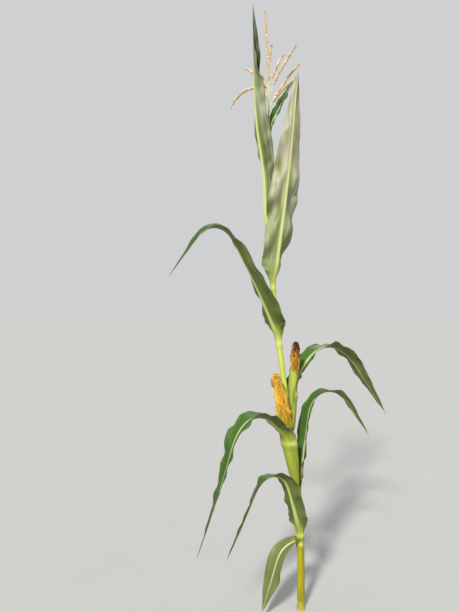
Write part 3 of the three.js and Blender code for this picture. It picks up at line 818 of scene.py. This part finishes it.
def make_leaf(index):
    leaf = LEAVES[index]
    rng = np.random.default_rng(SEEDS.leaf + index)
    heights = np.linspace(sheath_foot(index), leaf["collar"], SHEATH_RINGS)
    share = np.linspace(0, 1, BLADE_RINGS + 1)[1:]
    sheath = sheath_sections(index, heights)
    blade = blade_sections(index, share)
    sections = {key: np.concatenate([sheath[key], blade[key]]) for key in sheath}
    run = sections["run"]
    share = clamp01(run / leaf["length"])
    on_blade = smooth(share / ON_BLADE)

    even = np.linspace(-1, 1, LEAF_COLUMNS)
    v = np.sign(even) * np.abs(even) ** COLUMN_POWER
    uneven = swings(rng, run, np.array([1]), UNEVEN.length)[:, 0]
    sections["half_width"] *= 1 + UNEVEN.share * on_blade * uneven
    points, facing = across_sheet(sections, v)
    across = v * sections["half_width"][:, None]
    relief = leaf_relief(leaf, rng, sections, share, v, on_blade)
    depth = sections["thickness"][:, None] * SHEET_DEPTH * (1 - v**2)
    middle = points + facing * (relief - depth)[..., None]

    # The midrib stands out below and is a shallow groove above.
    narrowed = share**MIDRIB.narrowing
    rib_width = mix(MIDRIB.width, MIDRIB.tip_width, narrowed)[:, None] * leaf["rib"]
    rib = bell(across, rib_width)
    # The band beside the midrib where shade is painted in, as if the midrib's ridge cast it.
    rib_shade_band = bell(np.abs(across) - MARKS.crease_at * rib_width, MARKS.crease_reach * rib_width)
    height = mix(MIDRIB.sheath_height, MIDRIB.height, on_blade)
    height = height * mix(1, MIDRIB.tip_height, share**MIDRIB.lowering)
    ridge = height[:, None] * rib
    thin = mix(*SHEET_HALF, on_blade)[:, None]
    upper = middle + facing * (thin - MIDRIB.groove * ridge)[..., None]
    under = middle - facing * (thin + ridge)[..., None]

    def both(value):
        value = np.broadcast_to(value, across.shape)
        return value, value

    marks = leaf_marks(leaf, run, share, v, on_blade, rib, rib_shade_band)
    node = "leaf_%02d" % (index + 1)
    piece = Piece(node + "_surface")
    piece.add_sheet(
        upper,
        under,
        across=both(across),
        run=both(run[:, None]),
        underside=(np.zeros_like(across), np.ones_like(across)),
        **{key: both(value) for key, value in marks.items()},
    )
    piece.make([LOOKS[leaf["tone"], leaf["sheath"]]], node)


# Ears.


def ear_line(ear):
    out = outward(LEAVES[ear["leaf"]]["azimuth"])
    foot = stalk_centre(ear["husk_from"]) + out * ear["offset"]
    lean = np.array([*ear["lean"], 1])
    tip = foot + lean * (ear["tip"] - ear["husk_from"])
    return out, foot, tip


def husk_radius(ear, t):
    swelling = mix(HUSK.foot, 1, smooth(t / HUSK.wide_by))
    narrowing = mix(1, HUSK.tip, past(t, HUSK.narrow_from))
    return ear["radius"] * swelling * narrowing


def make_shank(ear):
    out, foot, tip = ear_line(ear)
    axis = unit(tip - foot)
    off_centre = stalk_radius(ear["shank_from"]) + SHANK.off_stalk
    start = stalk_centre(ear["shank_from"]) + out * off_centre
    posts = [start, start + out * SHANK.out, foot - axis * SHANK.upright, foot]
    t = np.linspace(0, 1, SHANK.steps)[:, None]
    weights = [(1 - t) ** 3, 3 * t * (1 - t) ** 2, 3 * t**2 * (1 - t), t**3]
    line = sum(weight * post for weight, post in zip(weights, posts))
    off_node = (t[:, 0] * SHANK.nodes) % 1 - 0.5
    radii = SHANK.radius * (1 + SHANK.swelling * bell(off_node, SHANK.swelling_reach))
    piece = Piece(ear["name"] + "_shank_surface")
    piece.add_tubes(line[None], radii[None], level_across(out), SHANK.sides)
    piece.make([LOOKS["husk"]], ear["name"] + "_shank")


def make_husk(ear):
    """Bracts wrapped over each other, each a sheet that narrows to its own point."""
    rng = np.random.default_rng(SEEDS.husk + ear["leaf"])
    _, foot, tip = ear_line(ear)
    length = np.linalg.norm(tip - foot)
    axis = (tip - foot) / length
    side = square_to(axis, np.array([1.0, 0, 0]))
    other = np.cross(axis, side)
    piece = Piece(ear["name"] + "_husk_surface")
    v = np.linspace(-1, 1, BRACTS.columns)
    share = np.linspace(0, 1, BRACTS.rings)[:, None]
    wrap = np.radians(mix(*BRACTS.wrap, past(share, BRACTS.narrow_from)))
    free = BRACTS.free_tip * past(share, BRACTS.free_from) + BRACTS.free_margin * np.abs(v) ** 4
    ribs = BRACTS.rib_height * np.cos(v * wrap * BRACTS.ribs)
    for layer in range(BRACTS.count):
        end = mix(*BRACTS.ends, layer / BRACTS.count) * rng.uniform(*BRACTS.uneven)
        t = share * end
        angle = np.radians(layer * BRACTS.step) + v * wrap
        radius = husk_radius(ear, clamp01(t)) + layer * BRACTS.layer + free + ribs
        circle = np.cos(angle)[..., None] * side + np.sin(angle)[..., None] * other
        middle = foot + axis * (t * length)[..., None] + circle * radius[..., None]
        half = circle * BRACTS.thickness / 2
        piece.add_sheet(middle - half, middle + half)
    piece.make([LOOKS["husk"]], ear["name"] + "_husk")


# The looks of the strands with their shares: where they hang, from the outermost tufts inwards, and at
# their top, where they are mixed. The short tufts look like the top all along.
SILK_KINDS = {
    "golden": {
        "fall": (["silk_gold", "silk_orange"], [0.72, 0.28]),
        "top": (["silk_tan", "silk_gold", "silk_orange"], [0.6, 0.2, 0.2]),
    },
    "brown": {
        "fall": (["silk_orange", "silk_gold", "silk_brown"], [0.6, 0.28, 0.12]),
        "top": (["silk_brown"], [1]),
    },
}
SILK_LOOKS = ["silk_gold", "silk_tan", "silk_orange", "silk_brown"]


def silk_tufts(ear, rng):
    """What each tuft's strands share: way round the ear, length, bend, wander and looks."""
    tufts = SILK.tufts
    crown = np.arange(tufts) < CROWN.share * tufts
    angle = np.clip(rng.normal(0, SILK.spread, tufts), -SILK.widest, SILK.widest)
    angle = np.where(crown, rng.uniform(-np.pi, np.pi, tufts), np.radians(angle))
    length = ear["silk_length"] * rng.uniform(*SILK.length, tufts)
    length = length * (1 - SILK.far_side * np.abs(angle) / np.pi)
    length = length * (1 + ear["silk_skew"] * np.sin(angle))
    length = np.where(crown, rng.uniform(*CROWN.length, tufts), length)
    turn = rng.uniform(*SILK.turn, tufts)
    rise = SILK.rise * (1 - (turn / SILK.turn[1]) ** 2)
    gap = rng.uniform(*SILK.gap, tufts)
    gap = np.where(crown, SILK.gap[1] * rng.uniform(*CROWN.gap, tufts), gap)
    wander_length = rng.uniform(*SILK.wander_length, tufts)
    wander_phase = rng.uniform(0, 2 * np.pi, tufts)

    def dealt(part, places):
        """A look for each tuft, by its place among them all."""
        names, shares = SILK_KINDS[ear["silk"]][part]
        picked = np.searchsorted(np.cumsum(shares), places / tufts, side="right")
        looks = np.array([SILK_LOOKS.index(name) for name in names])
        return looks[np.minimum(picked, len(names) - 1)]

    inwards = np.argsort(np.argsort(-gap))
    top = dealt("top", rng.permutation(inwards))
    fall = np.where(crown, top, dealt("fall", inwards))
    turn, gap = turn * ear["radius"], gap * ear["radius"]
    shared = (angle, length, turn, rise, gap, wander_length, wander_phase, top, fall)
    return [np.repeat(values, SILK.strands)[:, None] for values in shared]


def make_silk(ear):
    """Tufts of curled strands out of the husk's tip, turned over and hanging along the ear."""
    rng = np.random.default_rng(SEEDS.silk + ear["leaf"])
    _, foot, tip = ear_line(ear)
    reach = np.linalg.norm(tip - foot)
    axis = (tip - foot) / reach
    ahead = square_to(axis, outward(ear["silk_azimuth"]))
    aside = np.cross(axis, ahead)
    angle, length, turn, rise, gap, wander_length, wander_phase, top, fall = silk_tufts(ear, rng)
    one_each = angle.shape

    run = np.linspace(0, 1, SILK.steps) * length * rng.uniform(*STRAND.length, one_each)
    step = run[:, 1:2]
    turned = smooth((run - rise) / turn)
    tilt = np.radians(mix(90, -90, turned))
    height = np.cumsum(np.sin(tilt), 1) * step
    out = np.cumsum(np.cos(tilt), 1) * step
    husk = husk_radius(ear, clamp01(1 + height / reach))
    husk = husk + gap * rng.uniform(*STRAND.gap, one_each)
    below = np.maximum.accumulate(height, 1) - height
    out = np.maximum(out, husk * smooth(below / SILK.settled))
    around = angle + rng.normal(0, STRAND.spread, one_each)

    # Strands wander with their tuft and curl on their own.
    free = smooth(run / SILK.curl_from)
    drift = SILK.wander * np.sin(2 * np.pi * run / wander_length + wander_phase)
    curl = free * rng.uniform(*SILK.curl, one_each)
    turns = 2 * np.pi * run / rng.uniform(*SILK.curl_length, one_each)
    turns = turns + rng.uniform(0, 2 * np.pi, one_each)
    toward = ahead * np.cos(around)[..., None] + aside * np.sin(around)[..., None]
    beside = np.cross(axis, toward)
    root = rng.uniform(0, husk_radius(ear, 1) * SILK.root, one_each) * (1 - turned)
    lines = tip + axis * (height - SILK.root_depth * (1 - turned))[..., None]
    lines = lines + toward * (out + root + curl * np.cos(turns))[..., None]
    lines = lines + beside * (free * drift + curl * np.sin(turns))[..., None]
    radii = SILK.radius * mix(1, SILK.tip_radius, run / run[:, -1:])

    piece = Piece(ear["name"] + "_silk_surface")
    split = int(ear["silk_top"] * SILK.steps)
    across = np.broadcast_to(beside, lines.shape)
    for part, kinds in ((slice(0, split + 1), top), (slice(split, None), fall)):
        tubes = lines[:, part], radii[:, part], across[:, part]
        piece.add_tubes(*tubes, SILK.sides, kinds[:, 0])
    looks = [LOOKS[name] for name in SILK_LOOKS]
    piece.make(looks, ear["name"] + "_silk")


# Tassel.

TASSEL_LOOKS = ["rachis", "spikelet_straw", "spikelet_pink", "spikelet_cream", "anther"]
SPIKELET_SHARES = {1: 0.45, 2: 0.2, 3: 0.35}  # by number in the looks of the tassel
ANTHER_LOOK = 4


def spikelet_shape():
    """A slim pointed grain along +Z with its base at the origin."""
    ends = np.array(SPIKELET.ends)
    widths = np.array(SPIKELET.widths) * SPIKELET.half_width
    angle = np.linspace(0, 2 * np.pi, SPIKELET.sides, endpoint=False)
    circle = np.stack([np.cos(angle), SPIKELET.flat * np.sin(angle)], -1)
    rings = circle[None] * widths[:, None, None]
    heights = np.broadcast_to(ends[:, None, None] * SPIKELET.length, (*rings.shape[:2], 1))
    points = np.concatenate([rings, heights], -1).reshape(-1, 3)
    return points, tube_faces(len(ends), SPIKELET.sides)


def add_spikelets(piece, line, limb, rng):
    """Rows of spikelets round a limb from its bare part on, with anthers hanging from some."""
    steps = np.linalg.norm(np.diff(line, axis=0), axis=1)
    gone = np.concatenate([[0], np.cumsum(steps)])

    def on_line(run):
        return np.stack([np.interp(run, gone, column) for column in line.T], -1)

    rows = limb.rows
    tiers = int(gone[-1] * (1 - limb.bare) / limb.pitch)
    at = np.repeat(mix(gone[-1] * limb.bare, gone[-1], (np.arange(tiers) + 0.5) / tiers), rows)
    count = len(at)
    jitter = SPIKELET.jitter
    at = at + rng.uniform(-jitter, jitter, count) * limb.pitch
    base = on_line(at)
    tangent = unit(on_line(at + SPIKELET.look_round) - on_line(at - SPIKELET.look_round))
    side = square_to(tangent, np.array(OFF_LIMBS))
    other = np.cross(tangent, side)
    row = np.tile(np.arange(rows), tiers) + 0.5 * np.repeat(np.arange(tiers) % 2, rows)
    angle = (2 * np.pi * row / rows + rng.uniform(-jitter, jitter, count))[:, None]
    away = side * np.cos(angle) + other * np.sin(angle)
    spread = np.radians(rng.uniform(*SPIKELET.spread, count))[:, None]
    direction = tangent * np.cos(spread) + away * np.sin(spread)
    wide = square_to(direction, other * np.cos(angle) - side * np.sin(angle))
    deep = np.cross(direction, wide)
    near_tip = past((at / gone[-1])[:, None, None], SPIKELET.small_from)
    size = rng.uniform(*SPIKELET.size, (count, 1, 1)) * mix(1, SPIKELET.tip_size, near_tip)
    shape, faces = spikelet_shape()
    turned = np.stack([wide, deep, direction], 1)
    points = (base + away * SPIKELET.off_axis)[:, None] + np.einsum("pk,nkc->npc", shape, turned) * size
    kinds = rng.choice(list(SPIKELET_SHARES), count, p=list(SPIKELET_SHARES.values()))
    piece.add(points, faces, kinds)

    # Anthers hang on fine filaments.
    hung = np.flatnonzero(rng.uniform(0, 1, count) < ANTHER.share)
    drop = np.linspace(0, 1, ANTHER.steps)
    tips = base[hung] + direction[hung] * SPIKELET.length * ANTHER.start
    lean = outward(rng.uniform(0, 360, len(hung))) * ANTHER.lean
    lines = tips[:, None] + (lean - [0, 0, 1])[:, None] * (drop * ANTHER.length)[:, None]
    radii = np.where(drop < ANTHER.filament_to, ANTHER.filament, ANTHER.radius)
    radii = radii * np.ones((len(hung), 1))
    piece.add_tubes(lines, radii, np.array(ANTHER.across), ANTHER.sides, ANTHER_LOOK)


def make_limb(node, line, radii, limb, rng):
    piece = Piece(node + "_surface")
    piece.add_tubes(line[None], radii[None], np.array(OFF_LIMBS), RACHIS.sides)
    add_spikelets(piece, line, limb, rng)
    piece.make([LOOKS[name] for name in TASSEL_LOOKS], node)


def spike_centre(z):
    centre = stalk_centre(z)
    share = clamp01((z - STALK_TOP) / (TASSEL_TOP - STALK_TOP))
    centre[..., 0] += SPIKE.lean * share**2
    return centre


def make_tassel():
    """The spike and its branches, whose last spikelets reach beyond the end of the limb."""
    rng = np.random.default_rng(SEEDS.tassel)
    heights = np.linspace(STALK_TOP, TASSEL_TOP - SPIKELET.length * SPIKE.end, RACHIS.steps)
    share = (heights - STALK_TOP) / (TASSEL_TOP - STALK_TOP)
    radii = RACHIS.radius * mix(RACHIS.foot, RACHIS.tip, share)
    make_limb("tassel_spike", spike_centre(heights), radii, SPIKE, rng)
    for number, (z, azimuth, length, lift, end) in enumerate(BRANCHES, 1):
        _, path = led_path(
            spike_centre(np.array(z)) + outward(azimuth) * RACHIS.radius,
            np.array([0, 0, 1]),
            length - SPIKELET.length * BRANCH.end,
            lambda u: mix(lift, end, u),
            lambda u: np.full_like(u, azimuth),
            np.zeros_like,
        )
        line = path["point"][:: BRANCH.thin]
        radii = BRANCH.radius * mix(1, BRANCH.tip, np.linspace(0, 1, len(line)))
        node = "tassel_branch_%02d" % number
        make_limb(node, line, radii, BRANCH, rng)


# Floor, light and camera.

FLOOR_SIZE = 120
FLOOR_DROP = 0.0005  # keeps the floor clear of the stalk's flat cut
FLOOR_CELLS = 3
FLOOR_COLOURS = ("#9b9b99", "#a09f9d")
WORLD_COLOUR = "#cfd0d1"
# Where each lamp stands as seen from the plant, how strong it is, and how wide its disc is.
LAMPS = [
    dict(name="key", azimuth=-114, elevation=40, strength=5.0, angle=8),
    dict(name="fill", azimuth=-35, elevation=22, strength=0.5, angle=60),
    dict(name="back", azimuth=75, elevation=38, strength=0.9, angle=40),
]
CAMERA = Sizes(at=(-0.286, -1.84, 1.208), lens=27.06, sensor=36)


def make_stage():
    look = Look("floor", roughness=0.95, specular=0)
    mottle = look.noise(look.place(), FLOOR_CELLS)
    look.colour(look.blend(mottle, *map(paint, FLOOR_COLOURS)))
    half = FLOOR_SIZE / 2
    mesh = bpy.data.meshes.new("floor")
    corners = [(-half, -half, 0), (half, -half, 0), (half, half, 0), (-half, half, 0)]
    mesh.from_pydata(corners, [], [(0, 1, 2, 3)])
    mesh.materials.append(look.material)
    floor = shown("floor", mesh)
    floor.location.z = -FLOOR_DROP
    world = bpy.data.worlds.new("pale")
    world.use_nodes = True
    world.node_tree.nodes["Background"].inputs["Color"].default_value = paint(WORLD_COLOUR)
    bpy.context.scene.world = world


def make_lights():
    for settings in LAMPS:
        light = bpy.data.lights.new(settings["name"], "SUN")
        light.energy = settings["strength"]
        light.angle = np.radians(settings["angle"])
        lamp = shown(settings["name"], light)
        lamp.rotation_euler = np.radians([90 - settings["elevation"], 0, 90 + settings["azimuth"]])


def make_camera():
    lens = bpy.data.cameras.new("camera")
    lens.lens = CAMERA.lens
    lens.sensor_width = CAMERA.sensor
    camera = shown("camera", lens)
    camera.location = CAMERA.at
    camera.rotation_euler = (np.pi / 2, 0, 0)
    bpy.context.scene.camera = camera
    bpy.context.scene.view_settings.view_transform = "Standard"


make_stalk()
for number in range(len(LEAVES)):
    make_leaf(number)
for ear in EARS:
    make_shank(ear)
    make_husk(ear)
    make_silk(ear)
make_tassel()
make_stage()
make_lights()
make_camera()
